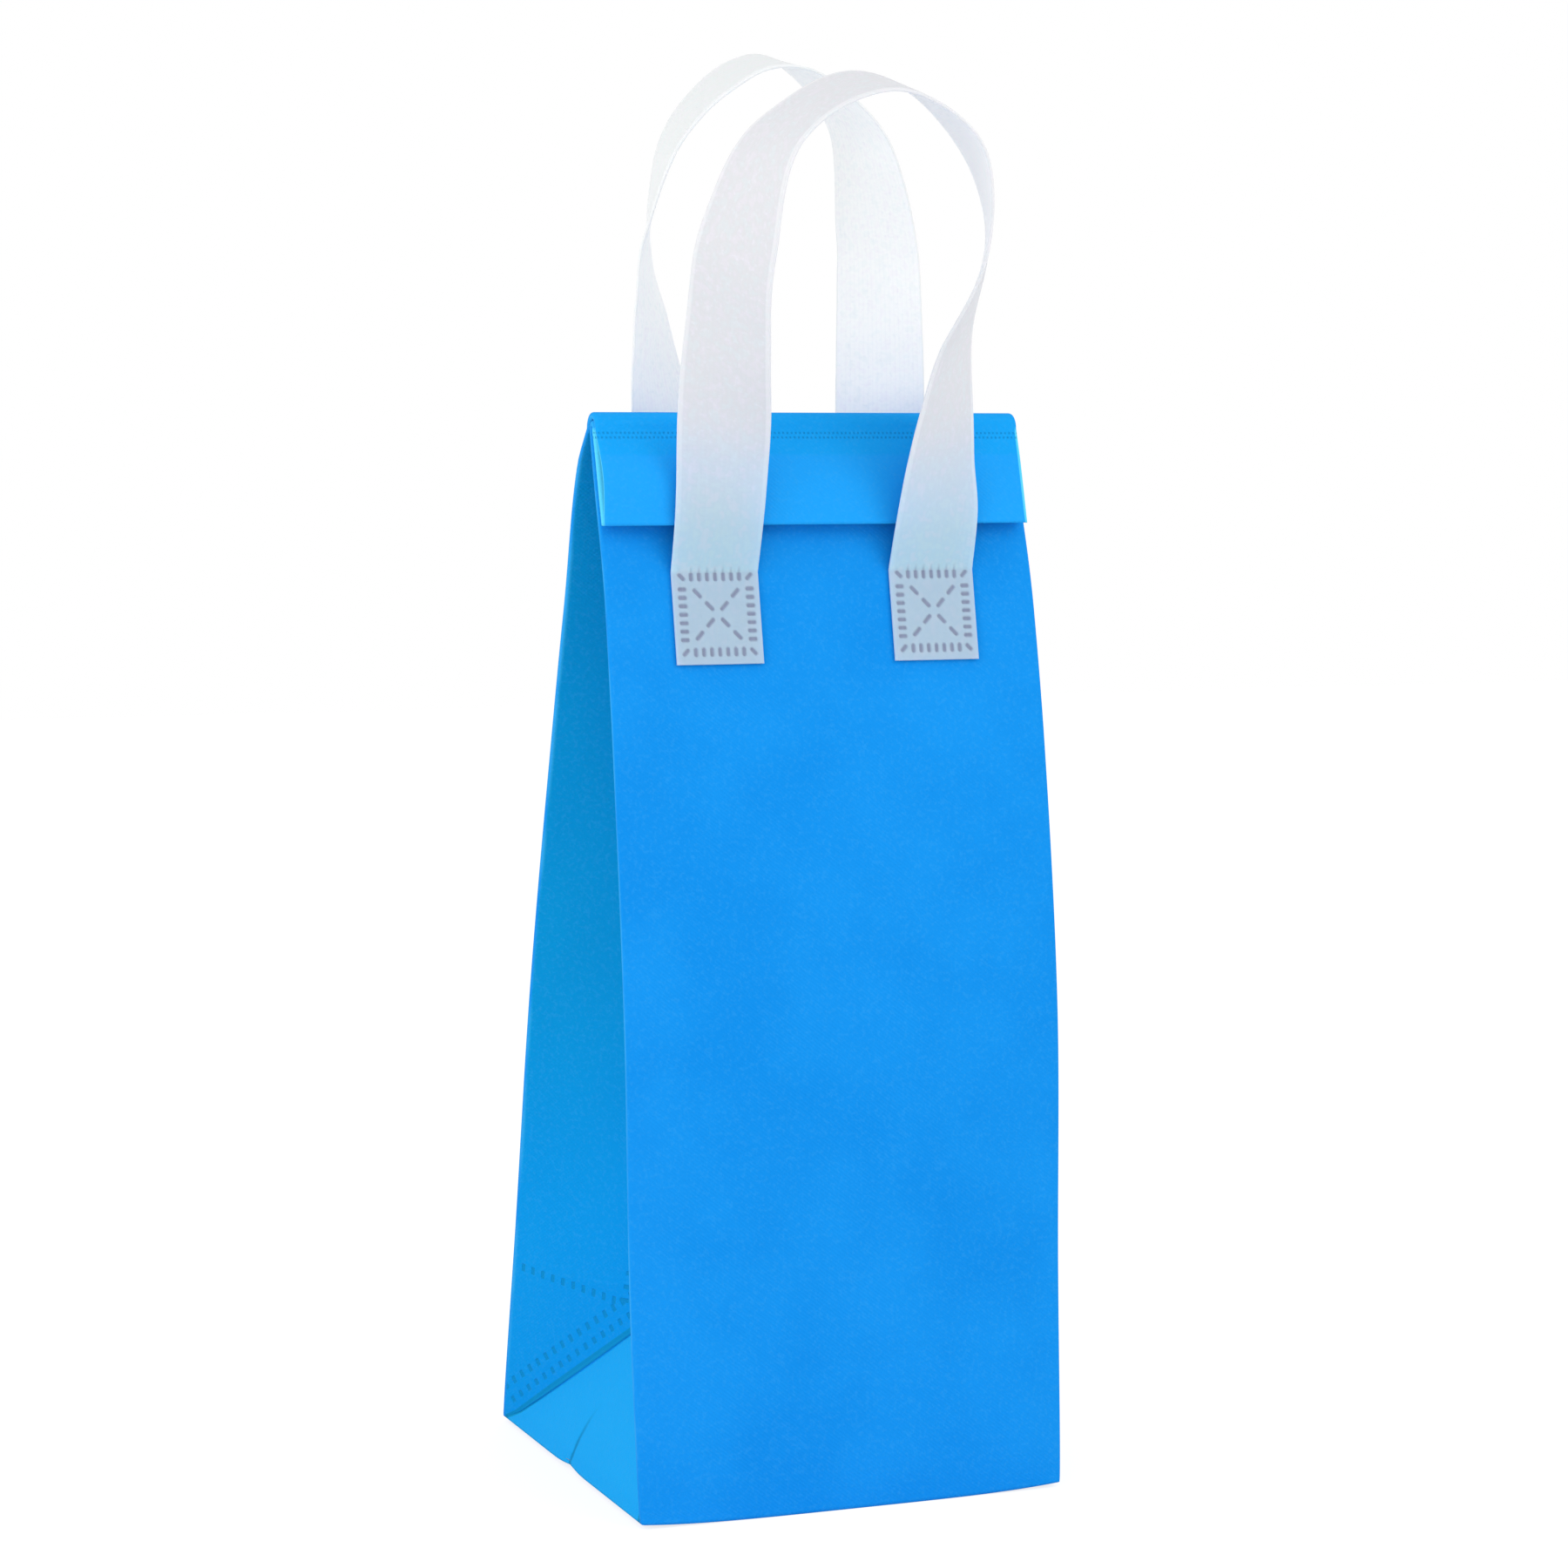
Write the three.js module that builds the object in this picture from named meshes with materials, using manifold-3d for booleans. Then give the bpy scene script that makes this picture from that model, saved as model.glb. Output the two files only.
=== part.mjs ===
// Insulated carrier bag, standing, with its mouth folded forward once and two webbing handles.
// Millimetres. X runs across the front, Y from front to back, Z up. The origin is the middle of the base.
import * as THREE from 'three';
import { mergeVertices } from 'three/addons/utils/BufferGeometryUtils.js';
import Module from 'manifold-3d';

const wasm = await Module();
wasm.setup();

// Driving dimensions

const BAG_WIDTH = 120.2; // across the front panel, at the base
const BASE_DEPTH = 125; // front to back, at the base
const FOLD_HEIGHT = 291.2; // floor to the ridge where the mouth is folded over
const LAMINATE = 0.8; // non-woven cloth, foam and foil film, pressed together at the folds
const LAYER_GAP = 0.3; // air between neighbouring layers
const SIDE_SWELL = 1.8; // how far each side edge stands out half way up
const PANEL_BOW = 2; // how far the front and back panels bow out
const CORNER_LIFT = 1.4; // how far the four base corners curl off the floor
const BASE_SHRINK = 0.9; // share of the base that lies flat on the floor
const APEX_HEIGHT = 48; // top of the triangular fold at the foot of each gusset
const CREASE_CLEARANCE = 1.5; // from each gusset crease to the middle of the bag
const FLAP_LENGTH = 29.5; // ridge to the rim of the folded mouth
const FLAP_SWELL = 2.8; // how much the folded layers spread at the middle of the flap
const RIM_STANDOFF = 1.3; // from the front panel to the flap at its rim
const WEBBING_WIDTH = 24.5;
const WEBBING_THICKNESS = 0.9;
const WEBBING_CLEARANCE = 0.3; // between the webbing and the panel that it is welded to
const HANDLE_SPACING = 62; // between the middles of the two tails of one handle
const WELD_DROP = 42.1; // from the ridge down to the upper edge of each weld
const WELD_HEIGHT = 22.6;
const WELD_MARGIN = 1.9; // from the weld's outline to the edge of the webbing
const TAIL_LENGTH = 24.6; // from the top of the weld to the cut end of the webbing
const WELD_DEPTH = 0.25; // how deep the weld's marks are pressed in
const WELD_BAR = 2.1; // length of one mark of the outline
const WELD_DASH = 3.2; // length of one dash of the X
const WELD_LINE = 0.9; // width of one mark
const WELD_PITCH = 2.25; // from one mark of the outline to the next
const FRONT_LOOP_RISE = 125.6; // weld top to the top of the front loop
const FRONT_LOOP_LEAN = 43; // how far the front loop leans forward at its top
const REAR_LOOP_RISE = 136.5;
const REAR_LOOP_LEAN = 9.5; // how far the rear loop leans forward at its top
const REAR_LOOP_SHIFT = -2; // the rear handle sits this far off the middle

// A smooth curve through values at rising knots: cubic pieces whose slope at a knot is the slope
// between its two neighbours.
function through(knots, values, t) {
  const last = knots.length - 1;
  const slope = (i) => {
    const a = Math.max(i - 1, 0);
    const b = Math.min(i + 1, last);
    return (values[b] - values[a]) / (knots[b] - knots[a]);
  };
  let i = 0;
  while (i < last - 1 && t > knots[i + 1]) i += 1;
  const span = knots[i + 1] - knots[i];
  const u = (t - knots[i]) / span;
  const start = values[i] * (1 - u) ** 2 * (1 + 2 * u) + slope(i) * span * u * (1 - u) ** 2;
  const end = values[i + 1] * u * u * (3 - 2 * u) - slope(i + 1) * span * u * u * (1 - u);
  return start + end;
}

// A closed solid as a three.js geometry, from rings of points that follow one another. Each ring
// is joined to the next, and the first and last are closed by a fan around a middle point.
function geometryFromRings(rings, firstMiddle, lastMiddle) {
  const count = rings[0].length;
  const points = [...rings.flat(), firstMiddle, lastMiddle];
  const positions = points.flatMap((p) => [p.x, p.y, p.z]);
  const index = [];
  const last = (rings.length - 1) * count;
  for (let c = 0; c < count; c += 1) {
    const next = (c + 1) % count;
    index.push(points.length - 2, next, c, points.length - 1, last + c, last + next);
  }
  for (let r = 0; r + 1 < rings.length; r += 1) {
    for (let c = 0; c < count; c += 1) {
      const next = (c + 1) % count;
      const [a, b] = [r * count + c, r * count + next];
      const [d, e] = [a + count, b + count];
      index.push(a, b, e, a, e, d);
    }
  }
  const geometry = new THREE.BufferGeometry();
  geometry.setAttribute('position', new THREE.Float32BufferAttribute(positions, 3));
  geometry.setIndex(index);
  return geometry;
}

function toSolid(geometry) {
  const mesh = new wasm.Mesh({
    numProp: 3,
    vertProperties: new Float32Array(geometry.attributes.position.array),
    triVerts: new Uint32Array(geometry.index.array),
  });
  return new wasm.Manifold(mesh);
}

function fromSolid(solid) {
  const mesh = solid.getMesh();
  const geometry = new THREE.BufferGeometry();
  geometry.setAttribute('position', new THREE.BufferAttribute(mesh.vertProperties, 3));
  geometry.setIndex(new THREE.BufferAttribute(mesh.triVerts, 1));
  return geometry;
}

function named(name, geometry, color, roughness) {
  geometry.computeVertexNormals();
  const material = new THREE.MeshStandardMaterial({ color, roughness, metalness: 0 });
  const mesh = new THREE.Mesh(geometry, material);
  mesh.name = name;
  return mesh;
}

// The bag's side view. The flattened top is four layers with three gaps between them,
// and it turns over around a point just in front of the front panel.

const STACK = 4 * LAMINATE + 3 * LAYER_GAP;
const FOLD_RADIUS = 0.5 * LAYER_GAP;
const FOLD_START = FOLD_HEIGHT - STACK - FOLD_RADIUS;
const FOLD_FRONT = -0.228 * BASE_DEPTH;
const WELD_TOP = FOLD_HEIGHT - WELD_DROP;

// Stations of the side view: height as a share of where the fold starts, then the front and back
// panels as shares of half the base depth.
const SIDE_HEIGHTS = [0, 0.21, 0.455, 0.7, 0.875, 0.966, 1].map((share) => share * FOLD_START);
const HALF_DEPTH = BASE_DEPTH / 2;
const FRONT_LINE = [-1, -0.928, -0.89, -0.749, -0.598, -0.502].map((share) => share * HALF_DEPTH);
const BACK_LINE = [1, 0.726, 0.46, 0.141, -0.1, -0.267].map((share) => share * HALF_DEPTH);
FRONT_LINE.push(FOLD_FRONT);
BACK_LINE.push(FOLD_FRONT + STACK);

const frontAt = (z) => through(SIDE_HEIGHTS, FRONT_LINE, z);
const backAt = (z) => through(SIDE_HEIGHTS, BACK_LINE, z);

// The swell's exponent makes it rise quickly from the base and stay nearly even above.
const SWELL_POWER = 0.6;

function halfWidthAt(z) {
  return BAG_WIDTH / 2 + SIDE_SWELL * Math.sin((Math.PI * z) / FOLD_HEIGHT) ** SWELL_POWER;
}

// The panels bow out between the base and the cut ends of the webbing.
function bowAt(z) {
  const top = WELD_TOP - TAIL_LENGTH - WEBBING_WIDTH / 4;
  return z < top ? PANEL_BOW * Math.sin((Math.PI * z) / top) : 0;
}

const halfThicknessAt = (z) => (backAt(z) - frontAt(z)) / 2;

// How far the gusset's crease lies inside the side edge: each half of a gusset stays as wide as
// half the base depth, until the two creases nearly meet in the middle of the bag.
function creaseDepth(halfWidth, halfThickness) {
  const free = Math.sqrt(Math.max(HALF_DEPTH ** 2 - halfThickness ** 2, 0));
  return Math.min(free, halfWidth - CREASE_CLEARANCE);
}

// One level of the bag: where the middle of its section is, which way its back faces, half its
// width and half its thickness.
function levelAt(z) {
  const [front, back] = [frontAt(z), backAt(z)];
  return {
    z,
    middle: new THREE.Vector2((front + back) / 2, z),
    facing: 0,
    halfWidth: halfWidthAt(z),
    half: (back - front) / 2,
    bow: bowAt(z),
  };
}

function foldLevel(angle) {
  const radius = FOLD_RADIUS + STACK / 2;
  const middle = new THREE.Vector2(
    FOLD_FRONT - FOLD_RADIUS + radius * Math.cos(angle),
    FOLD_START + radius * Math.sin(angle),
  );
  return {
    z: FOLD_HEIGHT,
    middle,
    facing: angle,
    halfWidth: halfWidthAt(FOLD_START),
    half: STACK / 2,
    bow: 0,
  };
}

// The flap hangs in front of the front panel, and its layers spread between the fold and the rim.
const SPREAD_POWER = 1.3;

function flapLevel(share) {
  const z = FOLD_START - share * (FLAP_LENGTH - STACK);
  const inner = frontAt(z) - 2 * FOLD_RADIUS - (RIM_STANDOFF - 2 * FOLD_RADIUS) * share ** 2;
  const thickness = STACK + FLAP_SWELL * Math.sin(Math.PI * share) ** SPREAD_POWER;
  return {
    z: FOLD_HEIGHT,
    middle: new THREE.Vector2(inner - thickness / 2, z),
    facing: Math.PI,
    halfWidth: halfWidthAt(FOLD_START),
    half: thickness / 2,
    bow: 0,
  };
}

// The outline of one level, in its own plane: x across the bag and y from front to back.
// It starts at the left end of the front panel and runs along the left gusset, the back, the
// right gusset and the front.
const EDGE_FOLD = 2 * LAMINATE + LAYER_GAP;
const PANEL_STEPS = 6;
const GUSSET_STEPS = 3;
const LAP_RUN_OUT = 0.2; // share of the triangle's height over which the lap ends

// The left side of a level: the front edge fold, the front half of the gusset, the crease, and
// the same again to the back. Below the apex the crease opens into the triangular fold, which
// lies one wall thickness behind the gusset's lower edges.
function leftSide(level) {
  const { z, half, halfWidth } = level;
  const apex = creaseDepth(halfWidthAt(APEX_HEIGHT), halfThicknessAt(APEX_HEIGHT));
  const share = Math.min(z / APEX_HEIGHT, 1);
  const depth = share < 1 ? apex * share : creaseDepth(halfWidth, half);
  const lap = LAMINATE * Math.min(1, (1 - share) / LAP_RUN_OUT, share / LAP_RUN_OUT);
  const edge = half - EDGE_FOLD;
  const reach = LAYER_GAP / 2 + (edge - LAYER_GAP) * (1 - share);
  const side = [new THREE.Vector2(-halfWidth, -half), new THREE.Vector2(-halfWidth, -edge)];
  for (let i = 1; i <= GUSSET_STEPS; i += 1) {
    const t = i / GUSSET_STEPS;
    side.push(new THREE.Vector2(-halfWidth + depth * t, -edge + (edge - reach) * t));
  }
  const tread = reach - LAYER_GAP / 8;
  side.push(new THREE.Vector2(-halfWidth + depth + lap, -tread));
  return [...side, ...side.map((p) => new THREE.Vector2(p.x, -p.y)).reverse()];
}

function outline(level) {
  const left = leftSide(level);
  const right = left.map((p) => new THREE.Vector2(-p.x, p.y)).reverse();
  const panel = (sign) => {
    const points = [];
    for (let i = 1; i < PANEL_STEPS; i += 1) {
      const t = -1 + (2 * i) / PANEL_STEPS;
      const out = level.half + level.bow * (1 - t * t);
      points.push(new THREE.Vector2(sign * t * level.halfWidth, sign * out));
    }
    return points;
  };
  return [...left, ...panel(1), ...right, ...panel(-1)];
}

// The same outline one wall thickness further in: each corner moves to where the two walls
// beside it meet again.
function inset(points, wall) {
  return points.map((p, i) => {
    const before = points[(i + points.length - 1) % points.length];
    const after = points[(i + 1) % points.length];
    const a = p.clone().sub(before).normalize();
    const b = after.clone().sub(p).normalize();
    const na = new THREE.Vector2(a.y, -a.x);
    const nb = new THREE.Vector2(b.y, -b.x);
    const mitre = na.clone().add(nb);
    return p.clone().addScaledVector(mitre, (2 * wall) / mitre.lengthSq());
  });
}

function place(points, level) {
  const across = new THREE.Vector2(Math.cos(level.facing), Math.sin(level.facing));
  return points.map((p) => {
    const at = level.middle.clone().addScaledVector(across, p.y);
    return new THREE.Vector3(p.x, at.x, at.y);
  });
}

const FOOT_SHARES = [0, 0.1, 0.2, 0.4, 0.6, 0.8, 1];
const BODY_STEPS = 16;
const FOLD_STEPS = 8;
const FLAP_STEPS = 8;

// All levels from the floor up to the fold, over it, and down the flap to the rim.
function bagLevels() {
  const levels = FOOT_SHARES.map((share) => levelAt(share * APEX_HEIGHT));
  for (let i = 1; i < BODY_STEPS; i += 1) {
    levels.push(levelAt(APEX_HEIGHT + ((FOLD_START - APEX_HEIGHT) * i) / BODY_STEPS));
  }
  for (let i = 0; i <= FOLD_STEPS; i += 1) levels.push(foldLevel((Math.PI * i) / FOLD_STEPS));
  for (let i = 1; i <= FLAP_STEPS; i += 1) levels.push(flapLevel(i / FLAP_STEPS));
  return levels;
}

// Each base corner curls off the floor, and the rest of the base lies flat.
function curl(ring, floor) {
  ring.forEach((p) => {
    const share = (Math.abs(p.x) / (BAG_WIDTH / 2)) * (Math.abs(p.y) / HALF_DEPTH);
    p.z = floor + CORNER_LIFT * Math.min(share, 1) ** 4;
  });
}

// The rings run from the floor inside up the inner skin, over the rim and down the outer skin.
function bagGeometry() {
  const levels = bagLevels();
  const outer = levels.map((level) => place(outline(level), level));
  const inner = levels.map((level) => place(inset(outline(level), LAMINATE), level));
  curl(outer[0], 0);
  curl(inner[0], LAMINATE);
  const flat = (ring, z) => ring.map((p) => new THREE.Vector3(p.x * BASE_SHRINK, p.y * BASE_SHRINK, z));
  const rings = [flat(inner[0], LAMINATE), ...inner, ...outer.reverse()];
  rings.push(flat(rings[rings.length - 1], 0));
  return geometryFromRings(rings, new THREE.Vector3(0, 0, LAMINATE), new THREE.Vector3(0, 0, 0));
}

// Webbing handles

// Stations of each loop, from the top of the left weld to the top of the right one: share of the
// length, place across as a share of half the tail spacing, lean and rise as shares of the loop's
// own, then how far the webbing has turned about its length and how far its edge tips, in degrees.
const FRONT_STATIONS = [
  [0, -1, 0, 0, 0, 0],
  [0.05, -1, 0.1, 0.12, 3, 0],
  [0.1, -1, 0.155, 0.241, 11, 8],
  [0.2, -1.1, 0.43, 0.458, 41, 20],
  [0.3, -1.18, 0.767, 0.671, 56, 24],
  [0.4, -0.92, 0.965, 0.892, 82, 16],
  [0.5, -0.08, 1, 1, 86, 16],
  [0.6, 0.76, 0.884, 0.9, 88, 16],
  [0.7, 1.11, 0.674, 0.687, 112, 24],
  [0.8, 1.01, 0.36, 0.47, 134, 19],
  [0.9, 1, 0.17, 0.241, 158, 14],
  [0.95, 1, 0.112, 0.12, 174, 6],
  [1, 1, 0, 0, 180, 0],
];
const REAR_STATIONS = [
  [0, -1, 0, 0, 0, 0],
  [0.05, -1.01, 0.3, 0.109, 5, 10],
  [0.1, -1.03, 0.55, 0.221, 17, 14],
  [0.2, -1.15, 0.45, 0.443, 45, 3],
  [0.3, -1.19, 0.39, 0.667, 70, 2],
  [0.4, -0.91, 0.76, 0.879, 87, 7],
  [0.5, -0.13, 1, 1, 93, 12],
  [0.6, 0.67, 0.63, 0.89, 101, 2],
  [0.7, 0.93, 0.43, 0.674, 129, -4],
  [0.8, 0.96, 0.54, 0.449, 145, -2],
  [0.9, 0.97, 0.48, 0.223, 164, -2],
  [0.95, 0.985, 0.32, 0.111, 174, -1],
  [1, 1, 0, 0, 180, 0],
];

// A tail lies flat on its panel: its middle at a height, for the front (-1) or the back (1).
function tailMiddle(face, z) {
  const panel = face < 0 ? frontAt(z) : backAt(z);
  return panel + face * (WEBBING_CLEARANCE + WEBBING_THICKNESS / 2);
}

const LOOP_STEPS = 72;

// The loop's middle line, and the direction across the webbing, at even shares of its length.
function loopStations(handle) {
  const { face, stations, lean, rise, shift } = handle;
  const columns = stations[0].map((_, k) => stations.map((station) => station[k]));
  const start = tailMiddle(face, WELD_TOP);
  const list = [];
  for (let i = 0; i <= LOOP_STEPS; i += 1) {
    const [across, leaning, up, turned, tipped] = columns
      .slice(1)
      .map((column) => through(columns[0], column, i / LOOP_STEPS));
    const turn = THREE.MathUtils.degToRad(turned);
    const tip = THREE.MathUtils.degToRad(tipped);
    list.push({
      middle: new THREE.Vector3(
        shift + (across * HANDLE_SPACING) / 2,
        start - lean * leaning,
        WELD_TOP + rise * up,
      ),
      cross: new THREE.Vector3(
        -face * Math.cos(turn),
        -Math.sin(turn) * Math.cos(tip),
        -Math.sin(turn) * Math.sin(tip),
      ),
    });
  }
  return list;
}

// The straight tail below a weld's top: its frame has x along the webbing's width, y down its
// length and z out from the bag.
function tailFrame(handle, side) {
  const { face, shift } = handle;
  const low = WELD_TOP - TAIL_LENGTH;
  const x = shift + (side * HANDLE_SPACING) / 2;
  const top = new THREE.Vector3(x, tailMiddle(face, WELD_TOP), WELD_TOP);
  const down = new THREE.Vector3(0, tailMiddle(face, low) - top.y, low - WELD_TOP).normalize();
  const across = new THREE.Vector3(face, 0, 0);
  const out = new THREE.Vector3().crossVectors(across, down);
  return { top, down, across, out };
}

// The webbing's section: flat faces, and edges that taper to a middle line as a selvedge does.
function webbingSection() {
  const halfWidth = WEBBING_WIDTH / 2;
  const half = WEBBING_THICKNESS / 2;
  const flat = halfWidth - half;
  const lower = [[-halfWidth, 0], [-flat, -half], [0, -half], [flat, -half]];
  return [...lower, ...lower.map(([x, y]) => [-x, -y])];
}

// One ring of the section at each end of the tails and at each station of the loop.
function webbingRings(handle) {
  const loop = loopStations(handle);
  const middles = loop.map((station) => station.middle);
  const crosses = loop.map((station) => station.cross);
  [-1, 1].forEach((side) => {
    const { top, down, across } = tailFrame(handle, side);
    [0.5, 1].forEach((share) => {
      const point = top.clone().addScaledVector(down, share * TAIL_LENGTH);
      const cross = across.clone().multiplyScalar(side);
      if (side < 0) {
        middles.unshift(point);
        crosses.unshift(cross);
      } else {
        middles.push(point);
        crosses.push(cross);
      }
    });
  });
  const section = webbingSection();
  return middles.map((middle, i) => {
    const ahead = middles[Math.min(i + 1, middles.length - 1)];
    const behind = middles[Math.max(i - 1, 0)];
    const along = ahead.clone().sub(behind).normalize();
    const cross = crosses[i].clone().addScaledVector(along, -crosses[i].dot(along)).normalize();
    const out = new THREE.Vector3().crossVectors(along, cross);
    return section.map(([x, y]) => middle.clone().addScaledVector(cross, x).addScaledVector(out, y));
  });
}

// The marks of one weld, in the weld's own plane: short bars square to the outline, and an X of
// four arms with two dashes each. Each mark is its middle, its length, and its turn.
const ARM_SHARES = [0.22, 0.56];

function weldMarks() {
  const width = WEBBING_WIDTH - 2 * WELD_MARGIN;
  const reach = new THREE.Vector2(width - WELD_BAR, WELD_HEIGHT - WELD_BAR).divideScalar(2);
  const along = Math.floor((reach.x - WELD_BAR) / WELD_PITCH);
  const up = Math.floor((reach.y - WELD_BAR) / WELD_PITCH);
  const marks = [];
  const mark = (x, y, length, turn) => marks.push({ x, y, length, turn });
  [-1, 1].forEach((side) => {
    for (let i = -along; i <= along; i += 1) mark(i * WELD_PITCH, side * reach.y, WELD_BAR, Math.PI / 2);
    for (let i = -up; i <= up; i += 1) mark(side * reach.x, i * WELD_PITCH, WELD_BAR, 0);
    [-1, 1].forEach((end) => {
      const slant = Math.atan2(end * WELD_HEIGHT, side * width);
      mark(side * reach.x, end * reach.y, WELD_BAR, slant);
      ARM_SHARES.forEach((share) => {
        mark(side * reach.x * share, end * reach.y * share, WELD_DASH, slant);
      });
    });
  });
  return marks;
}

// The pits that the weld presses into the outer face of both tails.
function weldPits(handle) {
  const pits = [-1, 1].flatMap((side) => {
    const { top, down, across, out } = tailFrame(handle, side);
    const frame = new THREE.Matrix4().makeBasis(across, down, out);
    const middle = top.clone().addScaledVector(down, WELD_HEIGHT / 2);
    frame.setPosition(middle.addScaledVector(out, WEBBING_THICKNESS / 2));
    return weldMarks().map(({ x, y, length, turn }) => {
      const box = new THREE.BoxGeometry(length, WELD_LINE, 2 * WELD_DEPTH);
      box.deleteAttribute('normal');
      box.deleteAttribute('uv');
      return mergeVertices(box).rotateZ(turn).translate(x, y, 0).applyMatrix4(frame);
    });
  });
  return pits.map(toSolid);
}

function handleGeometry(handle) {
  const rings = webbingRings(handle);
  const middle = (ring) => ring[0].clone().lerp(ring[ring.length / 2], 0.5);
  const strap = toSolid(geometryFromRings(rings, middle(rings[0]), middle(rings[rings.length - 1])));
  return fromSolid(weldPits(handle).reduce((solid, pit) => solid.subtract(pit), strap));
}

const FRONT_HANDLE = {
  face: -1,
  stations: FRONT_STATIONS,
  lean: FRONT_LOOP_LEAN,
  rise: FRONT_LOOP_RISE,
  shift: 0,
};
const REAR_HANDLE = {
  face: 1,
  stations: REAR_STATIONS,
  lean: REAR_LOOP_LEAN,
  rise: REAR_LOOP_RISE,
  shift: REAR_LOOP_SHIFT,
};

const BAG_BLUE = 0x1a94ee;
const WEBBING_WHITE = 0xebeeee;

const group = new THREE.Group();
group.add(named('bag_body', bagGeometry(), BAG_BLUE, 0.8));
group.add(named('front_handle', handleGeometry(FRONT_HANDLE), WEBBING_WHITE, 0.75));
group.add(named('rear_handle', handleGeometry(REAR_HANDLE), WEBBING_WHITE, 0.75));

export default group;
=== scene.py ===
# %% [markdown]
# # Insulated carrier bag
#
# A tall narrow carrier of blue non-woven cloth, laminated to foam and a foil film. It stands with its
# side gussets folded inward, its foot folded square, its mouth turned over forward once, and a loop of
# flat white webbing welded to the front and to the back.
#
# The frame comes from the CAD part: X runs across the front, Y from front to back, Z up, in metres.
# Every surface below is computed in millimetres and scaled once, when its mesh is made.

# %% Load the frame
import math

import bpy
import numpy as np
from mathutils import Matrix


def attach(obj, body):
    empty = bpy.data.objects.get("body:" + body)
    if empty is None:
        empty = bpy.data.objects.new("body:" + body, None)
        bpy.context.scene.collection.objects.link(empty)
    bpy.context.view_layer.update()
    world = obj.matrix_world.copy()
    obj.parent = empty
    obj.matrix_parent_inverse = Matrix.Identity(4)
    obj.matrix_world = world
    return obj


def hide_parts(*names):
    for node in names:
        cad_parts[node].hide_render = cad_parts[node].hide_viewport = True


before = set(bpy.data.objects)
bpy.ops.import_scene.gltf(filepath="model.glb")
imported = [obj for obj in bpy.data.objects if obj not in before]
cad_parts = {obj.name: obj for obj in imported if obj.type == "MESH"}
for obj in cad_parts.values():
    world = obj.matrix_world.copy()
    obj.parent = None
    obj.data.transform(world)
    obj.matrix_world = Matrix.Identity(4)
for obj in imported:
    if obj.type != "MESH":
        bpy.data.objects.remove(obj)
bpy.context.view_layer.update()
MM = 0.001
print("CAD nodes:", sorted(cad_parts))

# %% Sizes
BAG_WIDTH = 120.2  # across the front panel, at the base
BASE_DEPTH = 125.0  # front to back, at the base
FOLD_HEIGHT = 291.2  # floor to the ridge of the folded mouth
LAMINATE = 0.8  # the pressed laminate
LAYER_GAP = 0.3  # air between neighbouring layers
SIDE_SWELL = 1.8  # how far each side edge stands out half way up
PANEL_BOW = 2.0  # how far the front and back panels bow out
CORNER_LIFT = 1.4  # how far the side edges of the base curl off the floor
APEX_HEIGHT = 48.0  # top of the triangular fold at the foot of each gusset
CREASE_CLEARANCE = 1.5  # from each gusset crease to the middle of the bag
FLAP_LENGTH = 29.5  # ridge to the rim of the folded mouth
MOUTH_SHIFT = -1.4  # how far off the middle the folded mouth sits
FLAP_SWELL = 2.8  # how much the folded layers spread at the middle of the flap
RIM_STANDOFF = 1.3  # from the front panel to the flap at its rim
WEBBING_WIDTH = 24.5
WEBBING_THICKNESS = 0.9
WEBBING_CLEARANCE = 0.3  # between the webbing and the panel it is welded to
HANDLE_SPACING = 62.0  # between the middles of the two tails of one handle
WELD_TOP = 249.1  # height of the upper edge of each weld
WELD_HEIGHT = 22.6
TAIL_LENGTH = 24.6  # from the top of the weld to the cut end

HALF_DEPTH = BASE_DEPTH / 2
STACK = 4 * LAMINATE + 3 * LAYER_GAP  # the four layers of the pressed mouth
FOLD_RADIUS = LAYER_GAP / 2
FOLD_START = FOLD_HEIGHT - STACK - FOLD_RADIUS
FOLD_FRONT = -0.228 * BASE_DEPTH
EDGE_FOLD = 2 * LAMINATE + LAYER_GAP

# The side view: heights as shares of where the fold starts, then each panel's place as shares of
# half the depth.
SIDE_HEIGHTS = np.array([0, 0.21, 0.455, 0.7, 0.875, 0.966, 1]) * FOLD_START
FRONT_LINE = np.append(np.array([-1, -0.928, -0.89, -0.749, -0.598, -0.502]) * HALF_DEPTH, FOLD_FRONT)
BACK_LINE = np.append(np.array([1, 0.726, 0.46, 0.141, -0.1, -0.267]) * HALF_DEPTH, FOLD_FRONT + STACK)


# %% Curves and small helpers
def through(knots, values, t):
    """A smooth curve through values at rising knots. Between knots i and i+1, with u from 0 to 1,
    it is the cubic with the slope (v[i+1] - v[i-1]) / (k[i+1] - k[i-1]) at each knot."""
    knots, values, t = (np.asarray(a, float) for a in (knots, values, t))
    last = len(knots) - 1
    above = np.minimum(np.arange(last + 1) + 1, last)
    below = np.maximum(np.arange(last + 1) - 1, 0)
    slope = (values[above] - values[below]) / (knots[above] - knots[below])
    i = np.clip(np.searchsorted(knots, t) - 1, 0, last - 1)
    span = knots[i + 1] - knots[i]
    u = (t - knots[i]) / span
    start = values[i] * (1 - u) ** 2 * (1 + 2 * u) + slope[i] * span * u * (1 - u) ** 2
    return start + values[i + 1] * u * u * (3 - 2 * u) - slope[i + 1] * span * u * u * (1 - u)


def smooth(low, high, x):
    """0 below low, 1 above high, and 3u^2 - 2u^3 between them."""
    u = np.clip((np.asarray(x, float) - low) / (high - low), 0, 1)
    return u * u * (3 - 2 * u)


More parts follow.
